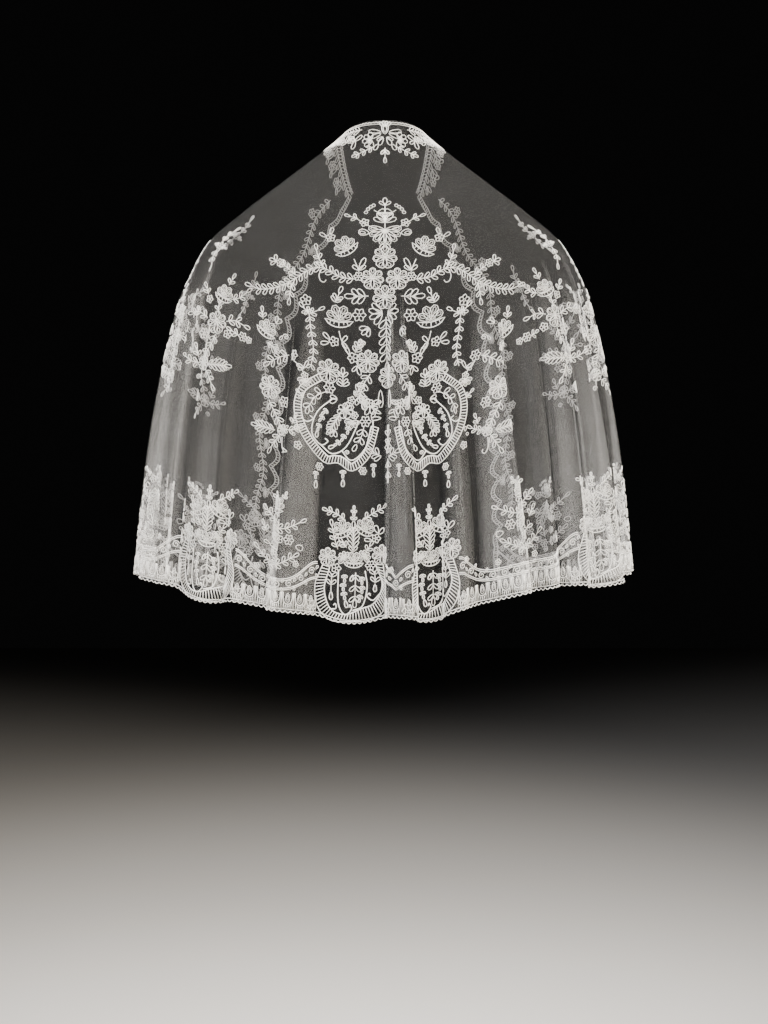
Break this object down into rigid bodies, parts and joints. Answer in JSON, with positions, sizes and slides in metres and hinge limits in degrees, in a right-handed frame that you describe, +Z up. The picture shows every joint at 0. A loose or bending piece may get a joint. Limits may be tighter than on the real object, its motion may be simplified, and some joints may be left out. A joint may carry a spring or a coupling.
{
  "type": "mantilla",
  "caption": "Sheer net mantilla with a scalloped lace border, worn as a short open-fronted cape over the shoulders; hollow, held up by the wearer.",
  "frame": {"origin": "middle of the base of the wearer's neck, where the cloth is carried on the neck and shoulders", "axes": "+Z up, the wearer faces -Y and +X is the wearer's left side"},
  "size_m": [0.6058, 0.3277, 0.58],
  "materials": {
    "net": "sheer ivory bobbin net with a soft sheen",
    "lace": "dense corded lace in warm white",
    "edge": "narrow corded scalloped edging"
  },
  "bodies": {
    "root": {"net_left_front": "net", "net_left_arm": "net", "net_back": "net", "net_right_arm": "net", "net_right_front": "net", "hem_border_left_front": "lace", "hem_border_left_arm": "lace", "hem_border_back": "lace", "hem_border_right_arm": "lace", "hem_border_right_front": "lace", "front_border_left": "edge", "front_border_right": "edge", "neck_border": "edge"}
  },
  "joints": []
}
